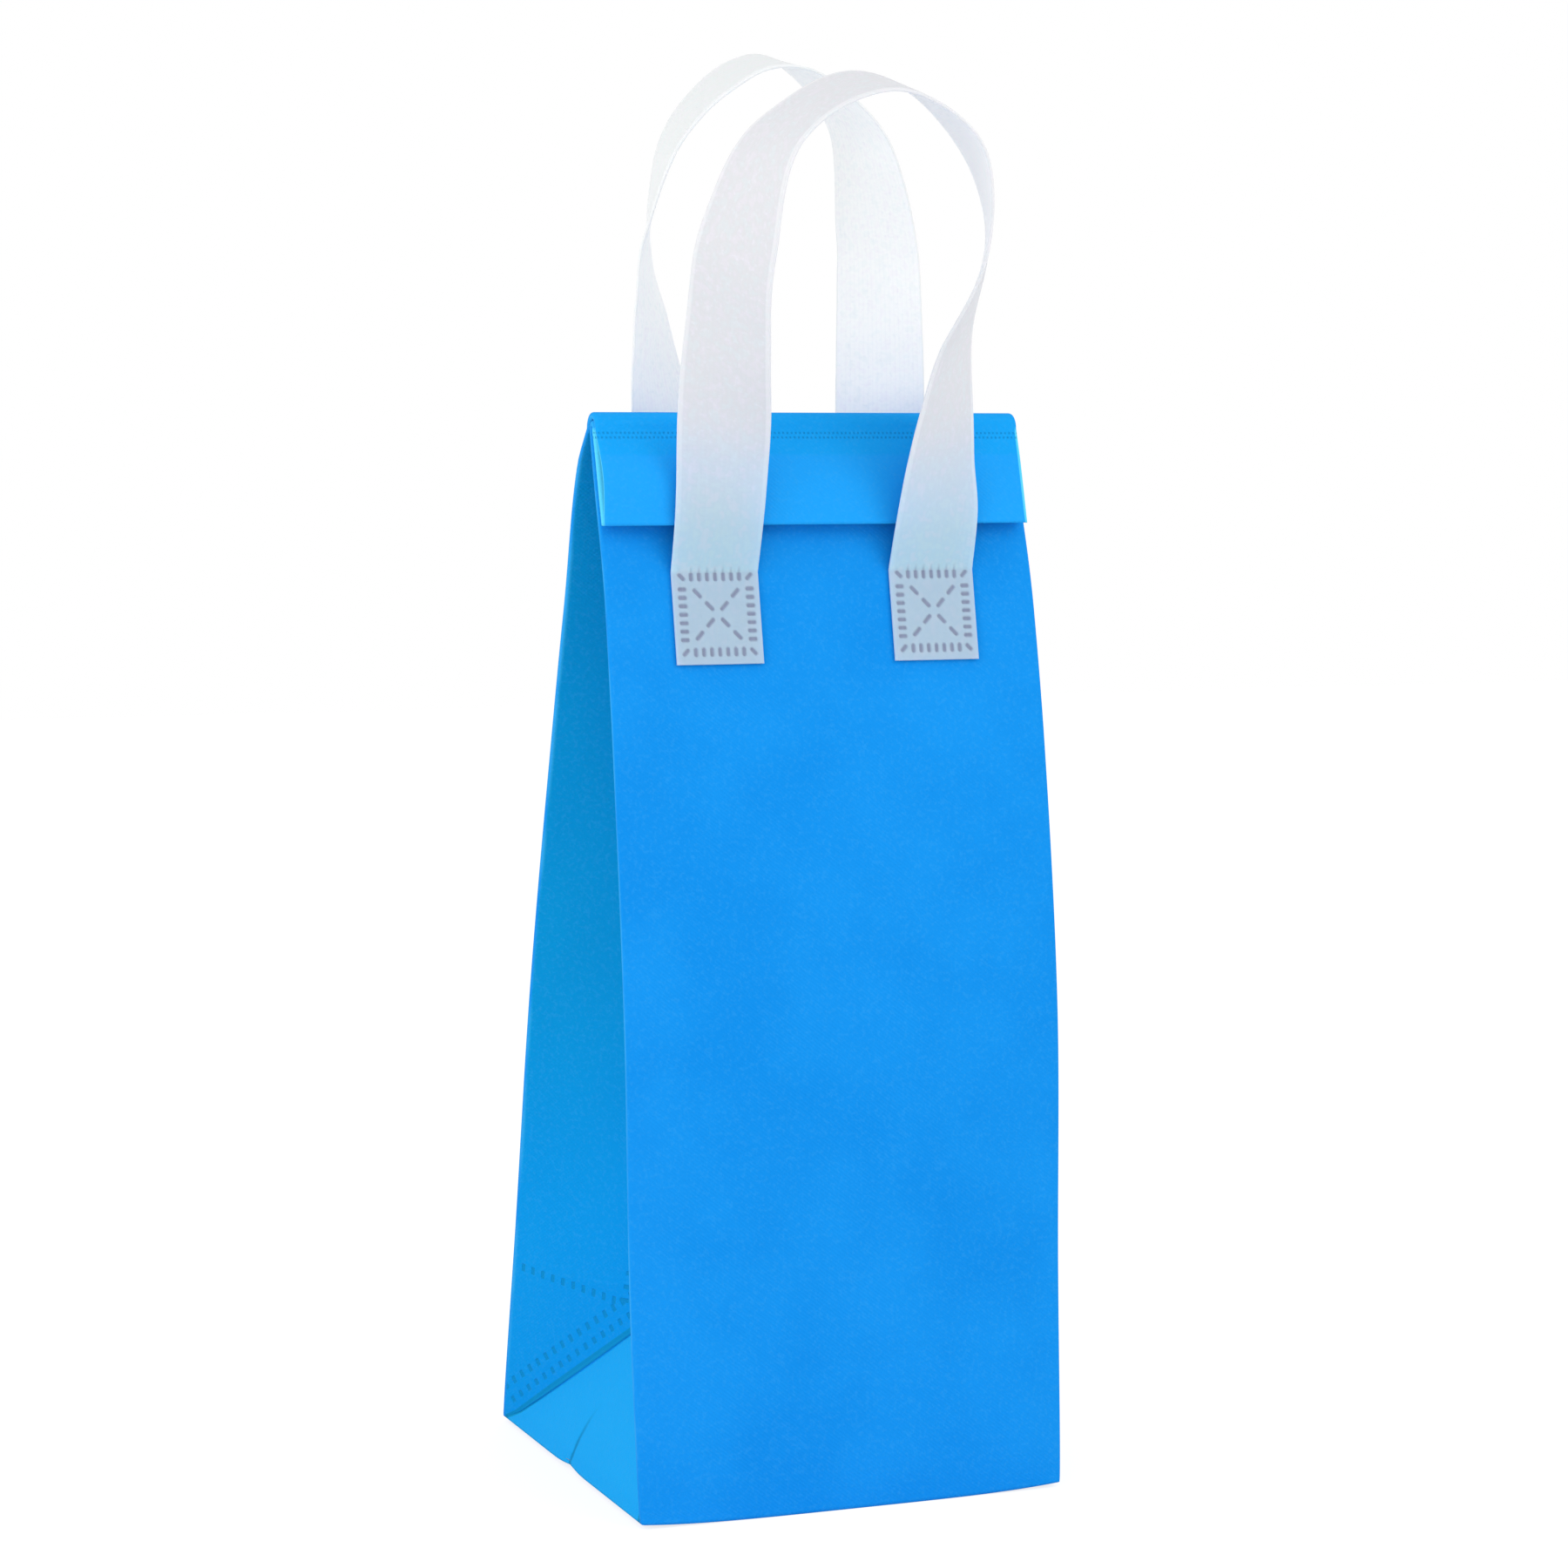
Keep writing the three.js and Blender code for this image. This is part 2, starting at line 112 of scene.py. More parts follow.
def waves(x, y, seed, longest, shortest, count):
    """Soft unevenness between about -1 and 1: the sum of count plane waves sin(k.(x, y) + phase),
    their lengths between shortest and longest, their directions and phases drawn from one seed."""
    rng = np.random.default_rng(seed)
    total = 0.0
    for _ in range(count):
        length = rng.uniform(shortest, longest)
        turn = rng.uniform(0, math.tau)
        k = math.tau / length
        total = total + np.sin(k * (x * math.cos(turn) + y * math.sin(turn)) + rng.uniform(0, math.tau))
    return total / math.sqrt(count)


def front_at(z):
    return through(SIDE_HEIGHTS, FRONT_LINE, z)


def back_at(z):
    return through(SIDE_HEIGHTS, BACK_LINE, z)


def half_width_at(z):
    """Half the bag's width at height z: it swells by SIDE_SWELL * sin(pi z / H)^0.6."""
    return BAG_WIDTH / 2 + SIDE_SWELL * np.sin(np.pi * np.clip(z / FOLD_HEIGHT, 0, 1)) ** 0.6


def crease_depth(half_width, half):
    """Each half of a gusset stays as wide as half the depth, so its crease lies
    sqrt(HALF_DEPTH^2 - half^2) inside the side edge, until the two creases nearly meet."""
    return np.minimum(np.sqrt(np.maximum(HALF_DEPTH**2 - half**2, 0)), half_width - CREASE_CLEARANCE)


def mesh_from_grid(name, grid, layers):
    """One closed mesh from a grid of points (rows, columns, 3) in millimetres. The last column joins
    the first, and a fan closes each end. layers maps a name to two arrays (rows, columns, 2): what each
    strip of faces has on its first side and on its second, so that a pattern may jump at a fold."""
    rows, cols = grid.shape[:2]
    r, c = np.meshgrid(np.arange(rows - 1), np.arange(cols), indexing="ij")
    n = (c + 1) % cols
    quads = np.stack([r * cols + c, r * cols + n, (r + 1) * cols + n, (r + 1) * cols + c], -1)
    quads = quads.reshape(-1, 4)
    points = np.vstack([grid.reshape(-1, 3), grid[0].mean(0), grid[-1].mean(0)])
    ring = np.arange(cols)
    after = (ring + 1) % cols
    end = (rows - 1) * cols
    fans = np.vstack([
        np.stack([after, ring, np.full(cols, rows * cols)], -1),
        np.stack([end + ring, end + after, np.full(cols, rows * cols + 1)], -1),
    ])
    mesh = bpy.data.meshes.new(name)
    mesh.vertices.add(len(points))
    mesh.vertices.foreach_set("co", (points * MM).ravel())
    loops = np.concatenate([quads.ravel(), fans.ravel()])
    mesh.loops.add(len(loops))
    mesh.loops.foreach_set("vertex_index", loops)
    starts = np.concatenate([np.arange(len(quads)) * 4, len(quads) * 4 + np.arange(len(fans)) * 3])
    mesh.polygons.add(len(starts))
    mesh.polygons.foreach_set("loop_start", starts)
    for layer, (first, second) in layers.items():
        flat = np.stack([first[:-1], second[:-1], second[1:], first[1:]], 2).reshape(-1, 2)
        fan = np.repeat(np.concatenate([first[0], first[-1]]), 3, axis=0)
        data = mesh.uv_layers.new(name=layer).data
        data.foreach_set("uv", np.vstack([flat, fan]).astype(np.float32).ravel())
    mesh.update(calc_edges=True)
    mesh.validate()
    mesh.shade_smooth()
    obj = bpy.data.objects.new(name, mesh)
    bpy.context.scene.collection.objects.link(obj)
    triangles = 2 * len(quads) + len(fans)
    print(f"{name}: {len(points)} points, {triangles} triangles")
    return obj


# %% [markdown]
# ## The bag body: one folded sheet
#
# A real bag of this kind is welded from flat sheet. The front panel, the base and the back panel are
# one length, and each side gusset is a strip welded in along its two long edges and creased down its
# middle. Pulled up, the creases fold inward, and at the foot each gusset folds under along two
# diagonals, which leaves a triangle standing on the floor.
#
# A cloth simulation would find its own folds, but these folds are pressed in by the maker and the photo
# fixes where they are. So each level of the bag is an outline of sixteen corners, the same at every
# height, and the corners are rounded as the laminate rounds when it is folded. The levels are stacked
# from the floor to the ridge, turned over the ridge, and run down the flap to the rim. The inner skin
# is the same outline one wall further in.

# %% The levels of the bag
def level_table():
    """Every level as columns: height for the outline's shape, middle (y, z) of the section, direction
    its back faces, half width, half thickness, bow of the panels, and distance up the sheet. Over the
    ridge the middle runs round a half circle of radius STACK / 2 + FOLD_RADIUS."""
    foot = np.arange(0, APEX_HEIGHT + 6, 1.0)
    wall = np.linspace(foot[-1], FOLD_START, 88)[1:]
    z = np.concatenate([foot, wall])
    front, back = front_at(z), back_at(z)
    bow_top = WELD_TOP - TAIL_LENGTH - WEBBING_WIDTH / 4
    bow = np.where(z < bow_top, PANEL_BOW * np.sin(np.pi * np.minimum(z / bow_top, 1)), 0)
    body = np.stack([z, (front + back) / 2, z, 0 * z, half_width_at(z), (back - front) / 2, bow, z], 1)
    angle = np.linspace(0, np.pi, 19)[1:]
    radius = FOLD_RADIUS + STACK / 2
    one = np.ones_like(angle)
    fold_y = FOLD_FRONT - FOLD_RADIUS + radius * np.cos(angle)
    fold_z = FOLD_START + radius * np.sin(angle)
    fold = np.stack([
        one * FOLD_HEIGHT, fold_y, fold_z, angle, one * half_width_at(FOLD_START), one * STACK / 2,
        0 * one, FOLD_START + angle * STACK,
    ], 1)
    share = np.linspace(0, 1, 27)[1:]
    one = np.ones_like(share)
    drop = FOLD_START - share * (FLAP_LENGTH - STACK)
    inner = front_at(drop) - 2 * FOLD_RADIUS - (RIM_STANDOFF - 2 * FOLD_RADIUS) * share**2
    thickness = STACK + FLAP_SWELL * np.sin(np.pi * share) ** 1.3
    sheet = FOLD_START + np.pi * STACK + share * (FLAP_LENGTH - STACK)
    flap = np.stack([
        one * FOLD_HEIGHT, inner - thickness / 2, drop, one * np.pi, one * half_width_at(FOLD_START),
        thickness / 2, 0 * one, sheet,
    ], 1)
    return np.vstack([body, fold, flap])


def section_corners(levels):
    """The sixteen corners of each outline, (levels, 16, 2): x across and y front to back. Below the
    apex the gusset's halves stop at the diagonal, and the triangle lies one wall behind their edge."""
    z, width, half = levels[:, 0], levels[:, 4], levels[:, 5]
    apex = crease_depth(half_width_at(APEX_HEIGHT), (back_at(APEX_HEIGHT) - front_at(APEX_HEIGHT)) / 2)
    share = np.minimum(z / APEX_HEIGHT, 1)
    depth = np.where(share < 1, apex * share, crease_depth(width, half))
    lap = LAMINATE * np.minimum(np.minimum(1, (1 - share) / 0.2), share / 0.2)
    edge = half - EDGE_FOLD
    reach = LAYER_GAP / 2 + (edge - LAYER_GAP) * (1 - share)
    tread = reach - LAYER_GAP / 8
    xs = [-width, -width, -width + depth, -width + depth + lap]
    ys = [-half, -edge, -reach, -tread]
    left = np.stack([np.stack(xs + xs[::-1], 1), np.stack(ys + [-y for y in ys[::-1]], 1)], -1)
    right = (left * [-1, 1])[:, ::-1]
    return np.concatenate([left, right], 1)


def inset(corners, wall):
    """The same outline one wall further in: each corner moves to where its two walls meet again,
    p + (na + nb) * 2 wall / |na + nb|^2, with na and nb the inward normals of the two sides."""
    before = np.roll(corners, 1, 1)
    after = np.roll(corners, -1, 1)
    a = (corners - before) / np.linalg.norm(corners - before, axis=-1, keepdims=True)
    b = (after - corners) / np.linalg.norm(after - corners, axis=-1, keepdims=True)
    mitre = np.stack([a[..., 1] + b[..., 1], -a[..., 0] - b[..., 0]], -1)
    return corners + mitre * 2 * wall / (mitre**2).sum(-1, keepdims=True)


# Points on each side between two rounded corners, points round each corner, and how far each
# rounding reaches, in millimetres.
SIDE_POINTS = [2, 36, 2, 40, 2, 36, 2, 50] * 2
ARC_POINTS = [6, 6, 3, 2, 2, 3, 6, 6] * 2
ARC_REACH = [0.95, 0.95, 0.4, 0.3, 0.3, 0.4, 0.95, 0.95] * 2


def rounded(corners, shrink):
    """The outline with each corner replaced by the parabola that leaves one side and meets the next,
    (1-u)^2 p0 + 2u(1-u) p + u^2 p1. It also returns the kind of each column: which side it is on."""
    count = corners.shape[1]
    after = np.roll(corners, -1, 1)
    length = np.linalg.norm(after - corners, axis=-1)
    along = (after - corners) / length[..., None]
    pieces, kinds = [], []
    shorter = np.minimum(length, np.roll(length, 1, 1))
    reaches = np.minimum(np.array(ARC_REACH) * shrink, 0.45 * shorter)[..., None]
    for i in range(count):
        j = (i + 1) % count
        reach = reaches[:, i]
        p = corners[:, i]
        p0, p1 = p - along[:, i - 1] * reach, p + along[:, i] * reach
        u = np.linspace(0, 1, ARC_POINTS[i])[None, :, None]
        pieces.append((1 - u) ** 2 * p0[:, None] + 2 * u * (1 - u) * p[:, None] + u**2 * p1[:, None])
        kinds += [i - 0.5] * ARC_POINTS[i]
        q1 = corners[:, j] - along[:, i] * reaches[:, j]
        u = np.linspace(0, 1, SIDE_POINTS[i] + 2)[None, 1:-1, None]
        pieces.append(p1[:, None] * (1 - u) + q1[:, None] * u)
        kinds += [float(i)] * SIDE_POINTS[i]
    return np.concatenate(pieces, 1), np.array(kinds)


def placed(section, levels):
    """Puts each outline at its level: the section's y runs along (cos f, sin f) in the side view."""
    y = levels[:, 1, None] + section[..., 1] * np.cos(levels[:, 3])[:, None]
    z = levels[:, 2, None] + section[..., 1] * np.sin(levels[:, 3])[:, None]
    return np.stack([section[..., 0], y, z], -1)


# %% Folds, dents and creases of the sheet
PANEL_DENTS = 0.34  # how far the soft dents of the panels go in and out
GUSSET_DENTS = 0.55
PINCH = 0.5  # how far the side edge of the base is pinched in at its middle
CREASE_DEPTH = 0.4
# The crease up each triangle follows y = CREASE_Y - CREASE_BEND * (z - CREASE_Z)^2.
CREASE_Y, CREASE_Z, CREASE_BEND = 7.5, 10.8, 0.05
FRONT_SIDE, BACK_SIDE = 15.0, 7.0
GUSSET_SIDES = (1.0, 5.0, 9.0, 13.0)
INSIDE = -900.0  # the pattern coordinate of the inner skin
GIRTH_OFFSET = 1000.0  # the pattern coordinate across the gussets starts here
BASE_OFFSET = 3000.0  # the pattern coordinates of the base start here


def bag_skin(levels, wall):
    """One skin of the bag, with the soft unevenness that pressing and folding leave in the sheet. On
    the panels and gussets it moves the surface along its own normal by amplitude * waves(x, height),
    faded out at every fold, under the webbing and where the layers are pressed together."""
    corners = section_corners(levels)
    if wall:
        corners = inset(corners, wall)
    section, kinds = rounded(corners, 1.0 if not wall else 0.4)
    width = levels[:, 4, None]
    bowed = levels[:, 6, None] * np.clip(1 - (section[..., 0] / width) ** 2, 0, 1)
    section[..., 1] += np.where(kinds == BACK_SIDE, bowed, 0) - np.where(kinds == FRONT_SIDE, bowed, 0)
    grid = placed(section, levels)
    high = levels[:, 7, None] + 0 * section[..., 0]
    low_z = levels[:, 0, None]

    # Soft dents, along y on the panels and along x on the gussets.
    x, y = section[..., 0], section[..., 1]
    from_edge = width - np.abs(x)
    panel = ((kinds == FRONT_SIDE) | (kinds == BACK_SIDE)) * smooth(0, 12, from_edge)
    panel = panel * smooth(0, 14, high) * (1 - smooth(196, 214, high))
    facing = np.where(kinds == FRONT_SIDE, -1.0, 1.0)
    grid[..., 1] += facing * panel * PANEL_DENTS * waves(x, high, 11, 95, 34, 9)
    gusset = np.isin(kinds, GUSSET_SIDES)
    depth = np.abs(np.abs(corners[:, 2, 0]) - width[:, 0])[:, None]
    share = np.clip(from_edge / np.maximum(depth, 1), 0, 1)
    soft = gusset * smooth(0, 0.16, share) * smooth(0, 0.16, 1 - share) * smooth(20, 60, high)
    soft = soft * (1 - smooth(215, 255, high))
    grid[..., 0] += np.sign(x) * soft * GUSSET_DENTS * waves(y, high * 0.8, 23, 80, 26, 8)

    # The foot: both side edges curl up, each is pinched up at its middle, and from there a short
    # crease runs up the triangle.
    reach = np.clip(np.abs(x) / (BAG_WIDTH / 2), 0, 1)
    grid[..., 2] += CORNER_LIFT * reach**4 * np.clip(1 - low_z / 4.2, 0, 1)
    side = smooth(0.8, 1, np.abs(x) / np.maximum(width - depth, 1))
    pinch = np.exp(-((y / 7.0) ** 2)) * np.exp(-low_z / 5.0) * (np.abs(x) > 40)
    grid[..., 0] -= np.sign(x) * PINCH * pinch * side
    grid[..., 2] += 0.3 * pinch * side * np.exp(-low_z / 2.0)
    line = y - CREASE_Y + CREASE_BEND * (low_z - CREASE_Z) ** 2
    crease = np.exp(-((line / 2.4) ** 2)) * np.exp(-((low_z / 13.0) ** 2)) * np.isin(kinds, (3.0, 11.0))
    grid[..., 0] -= np.sign(x) * CREASE_DEPTH * crease
    # The flap's layers spread at its left end and lie pressed flat at its right end.
    thickness = 2 * levels[:, 5, None]
    against_bag = levels[:, 1, None] + thickness / 2
    on_flap = levels[:, 3, None] > math.pi - 0.01
    pressed = on_flap * (1 - STACK / np.maximum(thickness, STACK)) * smooth(0, BAG_WIDTH / 2, x)
    grid[..., 1] -= pressed * (grid[..., 1] - against_bag)
    # The folded mouth sits a little off the middle.
    grid[..., 0] += MOUTH_SHIFT * smooth(238, 284, high)
    return grid, kinds, high


def base_rows(ring, height, shares):
    """The base: the lowest ring drawn in towards the middle by each share. A corner's curl dies away
    as share^6, so that the middle of the base lies flat at the given height."""
    flat = ring * [1, 1, 0]
    lift = ring[:, 2] - height
    return np.stack([
        flat * [s, s, 0] + np.stack([0 * lift, 0 * lift, height + lift * s**6], -1) for s in shares
    ])


def build_bag():
    """The bag's closed body: the inner skin up from its base to the rim, then the outer skin down from
    the rim to the outer base."""
    levels = level_table()
    outer, kinds, high = bag_skin(levels, 0)
    # The inner skin needs fewer levels: close ones at the foot and the fold, wide ones between.
    last = len(levels) - 1
    spans = ((0, 14, 2), (14, 48, 6), (48, 130, 5), (130, last, 3), (last, last + 1, 1))
    keep = np.concatenate([np.arange(*span) for span in spans])
    inner = bag_skin(levels[keep], LAMINATE)[0]
    inner[0, :, 2] += LAMINATE
    shares = np.array([0.02, 0.35, 0.65, 0.85, 0.93, 0.97, 0.99])
    floor_out = base_rows(outer[0], 0.0, shares)
    floor_in = base_rows(inner[0], LAMINATE, shares[[0, 3, 5]])

    # The sheet's own coordinates in millimetres: x on the panels and girth on the gussets, then the
    # height. On the gussets there is also the distance from their own side edge.
    ahead = np.roll(outer, -1, 1)
    step = np.linalg.norm(ahead - outer, axis=-1)
    girth = np.cumsum(step, 1)
    before = girth - step
    on_panel = np.isin(kinds, (FRONT_SIDE, BACK_SIDE))
    panel_face = on_panel | np.roll(on_panel, -1)
    sheet = [
        np.stack([np.where(panel_face, points[..., 0], GIRTH_OFFSET + g), high], -1)
        for points, g in ((outer, before), (ahead, girth))
    ]
    fold = []
    for g in (before, girth):
        a = np.full_like(g, -100.0)
        for near, crease, far in ((0.5, 3.0, 5.5), (8.5, 11.0, 13.5)):
            start, end = (before[:, [middle_column(kinds, k)]] for k in (near, far))
            a = np.where((kinds >= near - 1) & (kinds < crease), g - start, a)
            a = np.where((kinds >= crease) & (kinds < far + 1), end - g, a)
        fold.append(np.stack([a, high], -1))
    below = len(floor_in) + len(inner)
    inside = np.full((below, len(kinds), 2), INSIDE)
    base = floor_out[::-1, :, :2] + BASE_OFFSET
    outside = np.full_like(base, INSIDE + 10)
    rows = np.concatenate([floor_in, inner, outer[::-1], floor_out[::-1]])
    bases = (base, np.roll(base, -1, 1))
    layers = {
        "sheet": [np.concatenate([inside, side[::-1], b]) for side, b in zip(sheet, bases)],
        "fold": [np.concatenate([inside, side[::-1], outside]) for side in fold],
    }
    return mesh_from_grid("bag_sheet", rows, layers)


def middle_column(kinds, wanted):
    """The middle column of a corner's rounding."""
    columns = np.flatnonzero(kinds == wanted)
    return int(columns[len(columns) // 2])


bag = build_bag()

# %% [markdown]
# ## The handles: two lengths of flat webbing
#
# Webbing is stiff across its width and easy along its length, so each handle is modelled directly as a
# ribbon: a middle line through stations, with a direction across the ribbon at each one. Both tails lie
# flat on their panel, where heated jaws have pressed a box and an X into them. The pits of that weld
# are real dents in the outer face, and the ribs of the weave follow in the material, in real
# millimetres from the ribbon's own coordinates.

# %% Stations of the loops
# Share of the length, place across and lean and rise as shares of the loop's own, then how far the
# webbing has turned about its length and how far its edge tips, in degrees.
FRONT_STATIONS = [
    (0, -1, 0, 0, 0, 0), (0.05, -1, 0.1, 0.12, 3, 0), (0.1, -1, 0.155, 0.241, 11, 8),
    (0.2, -1.1, 0.43, 0.458, 41, 20), (0.3, -1.18, 0.767, 0.671, 56, 24),
    (0.4, -0.92, 0.965, 0.892, 82, 16), (0.5, -0.08, 1, 1, 86, 16), (0.6, 0.76, 0.884, 0.9, 88, 16),
    (0.7, 1.11, 0.674, 0.687, 112, 24), (0.8, 1.01, 0.36, 0.47, 134, 19),
    (0.9, 1, 0.17, 0.241, 158, 14), (0.95, 1, 0.112, 0.12, 174, 6), (1, 1, 0, 0, 180, 0),
]
REAR_STATIONS = [
    (0, -1, 0, 0, 0, 0), (0.05, -1.01, 0.3, 0.109, 5, 10), (0.1, -1.03, 0.55, 0.221, 17, 14),
    (0.2, -1.15, 0.45, 0.443, 45, 3), (0.3, -1.19, 0.39, 0.667, 70, 2), (0.4, -0.91, 0.76, 0.879, 87, 7),
    (0.5, -0.13, 1, 1, 93, 12), (0.6, 0.67, 0.63, 0.89, 101, 2), (0.7, 0.93, 0.43, 0.674, 129, -4),
    (0.8, 0.96, 0.54, 0.449, 145, -2), (0.9, 0.97, 0.48, 0.223, 164, -2),
    (0.95, 0.985, 0.32, 0.111, 174, -1), (1, 1, 0, 0, 180, 0),
]


def tail_middle(face, z):
    panel = front_at(z) if face < 0 else back_at(z)
    return panel + face * (WEBBING_CLEARANCE + WEBBING_THICKNESS / 2)


def ribbon_path(face, stations, lean, rise, shift):
    """The middle line (n, 3), the directions across (n, 3), and the distance along it. A tail runs
    straight down its panel from the weld's top, at rows close enough to carry the weld's pits."""
    table = np.array(stations)
    share = np.linspace(0, 1, 151)
    across, leaning, up, turned, tipped = (through(table[:, 0], table[:, k], share) for k in range(1, 6))
    turn, tip = np.radians(turned), np.radians(tipped)
    middle = np.stack([
        shift + across * HANDLE_SPACING / 2,
        tail_middle(face, WELD_TOP) - lean * leaning,
        WELD_TOP + rise * up,
    ], 1)
    cross = np.stack([-face * np.cos(turn), -np.sin(turn) * np.cos(tip), -np.sin(turn) * np.sin(tip)], 1)
    low = WELD_TOP - TAIL_LENGTH
    down = np.array([0, tail_middle(face, low) - tail_middle(face, WELD_TOP), -TAIL_LENGTH])
    down = down / np.linalg.norm(down)
    steps = np.linspace(0, 1, 79)[1:] * TAIL_LENGTH
    left = middle[0] + steps[::-1, None] * down
    right = middle[-1] + steps[:, None] * down
    middle = np.vstack([left, middle, right])
    flat = np.array([face, 0.0, 0.0])
    cross = np.vstack([np.tile(-flat, (len(steps), 1)), cross, np.tile(flat, (len(steps), 1))])
    along = np.gradient(middle, axis=0)
    along /= np.linalg.norm(along, axis=1, keepdims=True)
    cross = cross - (cross * along).sum(1, keepdims=True) * along
    cross /= np.linalg.norm(cross, axis=1, keepdims=True)
    length = np.append(0, np.cumsum(np.linalg.norm(np.diff(middle, axis=0), axis=1)))
    return middle, cross, np.cross(along, cross), length


# %% The weld's marks
WELD_MARGIN = 1.5  # from the weld's outline to the webbing's edge
WELD_PRESS = 0.25  # how deep one mark is pressed into the webbing
BLOCK_PRESS = 0.04  # how deep the cloth between the marks is pressed
BAR = 2.5  # length of one mark of the outline
DASH = 3.2  # length of one dash of the X
LINE = 1.1  # width of one mark
PITCH = 2.25  # from one mark of the outline to the next
ARM_SHARES = (0.22, 0.56)  # where along each arm of the X its two dashes stand


def weld_marks():
    """Middle, length and turn of each mark, in the weld's own plane: bars square to the outline, a
    slanted bar at each corner, and four arms of two dashes."""
    width = WEBBING_WIDTH - 2 * WELD_MARGIN
    rx, ry = (width - BAR) / 2, (WELD_HEIGHT - BAR) / 2
    along = int((rx - BAR) // PITCH)
    up = int((ry - BAR) // PITCH)
    marks = []
    for s in (-1, 1):
        marks += [(i * PITCH, s * ry, BAR, math.pi / 2) for i in range(-along, along + 1)]
        marks += [(s * rx, i * PITCH, BAR, 0.0) for i in range(-up, up + 1)]
        for e in (-1, 1):
            slant = math.atan2(e * WELD_HEIGHT, s * width)
            marks.append((s * rx, e * ry, BAR, slant))
            marks += [(s * rx * k, e * ry * k, DASH, slant) for k in ARM_SHARES]
    return marks


def weld_depth(x, y):
    """How deep the weld is pressed at (x, y), from 0 to 1: the largest over all marks, each of which
    is a bar with rounded ends."""
    deep = np.zeros_like(x)
    for mx, my, length, turn in weld_marks():
        dx, dy = x - mx, y - my
        u = np.abs(dx * math.cos(turn) + dy * math.sin(turn)) - (length - LINE) / 2
        v = np.abs(dx * math.sin(turn) - dy * math.cos(turn))
        distance = np.hypot(np.maximum(u, 0), v)
        deep = np.maximum(deep, 1 - smooth(LINE * 0.32, LINE * 0.68, distance))
    return deep


def build_handle(name, face, stations, lean, rise, shift, seed):
    """A ribbon of webbing. Its section is flat with selvedges that round to the middle, its faces carry
    a slight unevenness, and the outer face of both tails is dented by the weld."""
    middle, cross, out, length = ribbon_path(face, stations, lean, rise, shift)
    half, thick = WEBBING_WIDTH / 2, WEBBING_THICKNESS / 2
    flat = np.linspace(-1, 1, 73)
    bend = np.radians(np.linspace(-90, 90, 7)[1:-1])
    span = half - thick
    lower_x = flat * span
    turn_x, turn_y = span + thick * np.cos(bend), thick * np.sin(bend)
    sx = np.concatenate([lower_x, turn_x, lower_x[::-1], -turn_x])
    sy = np.concatenate([0 * flat - thick, turn_y, 0 * flat + thick, turn_y[::-1]])
    top = sy > thick * 0.999
    total = length[-1]
    grid = middle[:, None] + cross[:, None] * sx[None, :, None] + out[:, None] * sy[None, :, None]
    near_end = np.minimum(length, total - length)[:, None]
    weld_y = near_end - (TAIL_LENGTH - WELD_HEIGHT / 2)
    deep = weld_depth(np.broadcast_to(sx[None], grid.shape[:2]).copy(), weld_y + 0 * sx[None])
    deep = deep * (near_end < TAIL_LENGTH + 1)
    bottom = sy < -thick * 0.999
    outer, inner, sign = (top, bottom, 1.0) if out[0, 1] * face > 0 else (bottom, top, -1.0)
    free = smooth(TAIL_LENGTH + 4, TAIL_LENGTH + 30, near_end)
    ripple = free * 0.16 * waves(length[:, None] + 0 * sx, sx[None] * 1.3, seed, 46, 15, 6)
    grid = grid + out[:, None] * ripple[..., None]
    pressed = smooth(0, 1, (near_end < TAIL_LENGTH) * (1 - smooth(10.4, 11.0, np.abs(sx)[None])))
    pit = sign * outer[None] * (WELD_PRESS * deep + BLOCK_PRESS * pressed)
    grid = grid - out[:, None] * pit[..., None]
    ribbon = np.stack([sx[None] + 0 * near_end, length[:, None] + 0 * sx[None]], -1)[::-1]
    wear = np.stack([np.where(inner, -1, deep * outer), near_end + 0 * sx[None]], -1)[::-1]
    layers = {"ribbon": [ribbon, np.roll(ribbon, -1, 1)], "weld": [wear, np.roll(wear, -1, 1)]}
    return mesh_from_grid(name, grid[::-1], layers)


front_handle = build_handle("front_webbing", -1, FRONT_STATIONS, 43.0, 125.6, 0.0, 5)
rear_handle = build_handle("rear_webbing", 1, REAR_STATIONS, 9.5, 136.5, -2.0, 6)

# %% [markdown]
# ## Materials
#
# Spunbond polypropylene is matte with a soft sheen. It is bonded by rows of tiny hot points, which
# give it a fine grain about a millimetre apart. The maker's welds are pressed darker. Painted light
# is laid into the colour as well: painted highlights on the rounded folds, the foot's triangles and
# the flap, painted shade on the gussets, in the crease, along the folded edges and in the weld's pits,
# and a painted blue reflection on the webbing. The webbing is polypropylene yarn, woven with ribs
# across its width.

# %% Node helpers
def linear(hex_colour):
    """Scene-linear colour of an sRGB hex such as 0x1a94ee."""
    values = [((hex_colour >> shift) & 255) / 255 for shift in (16, 8, 0)]
    return [v / 12.92 if v <= 0.04045 else ((v + 0.055) / 1.055) ** 2.4 for v in values] + [1.0]


